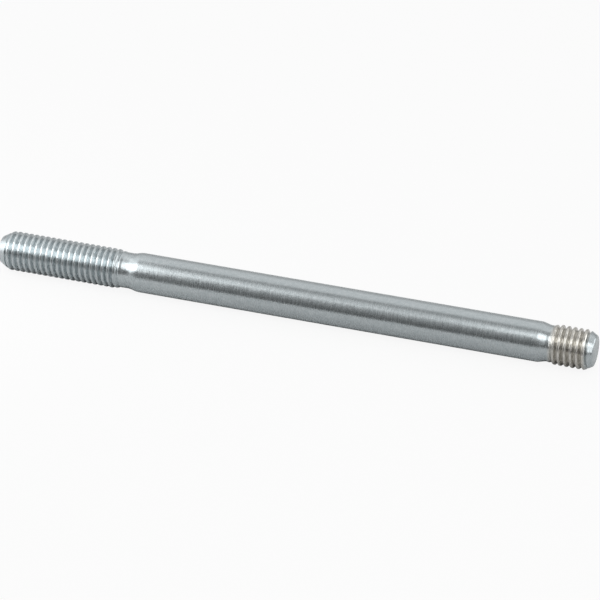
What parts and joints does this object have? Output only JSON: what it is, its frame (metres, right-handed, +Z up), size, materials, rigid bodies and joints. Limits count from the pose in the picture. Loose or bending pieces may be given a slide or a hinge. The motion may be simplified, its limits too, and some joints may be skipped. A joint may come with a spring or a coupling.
{
  "type": "stud bolt",
  "caption": "Headless double-ended stud with a plain full-diameter shank, a long threaded nut end and a short threaded screw-in end, for clamping parts to a tapped hole.",
  "frame": {"origin": "under the middle of the length, on the surface that the stud lies on", "axes": "+X along the stud's axis towards the short screw-in end, +Z up, +Y by the right-hand rule"},
  "size_m": [0.154, 0.01, 0.0099],
  "materials": {
    "zinc_plated_steel": "bright zinc plating with fine turning marks"
  },
  "bodies": {
    "root": {"stud": "zinc_plated_steel"}
  },
  "joints": []
}
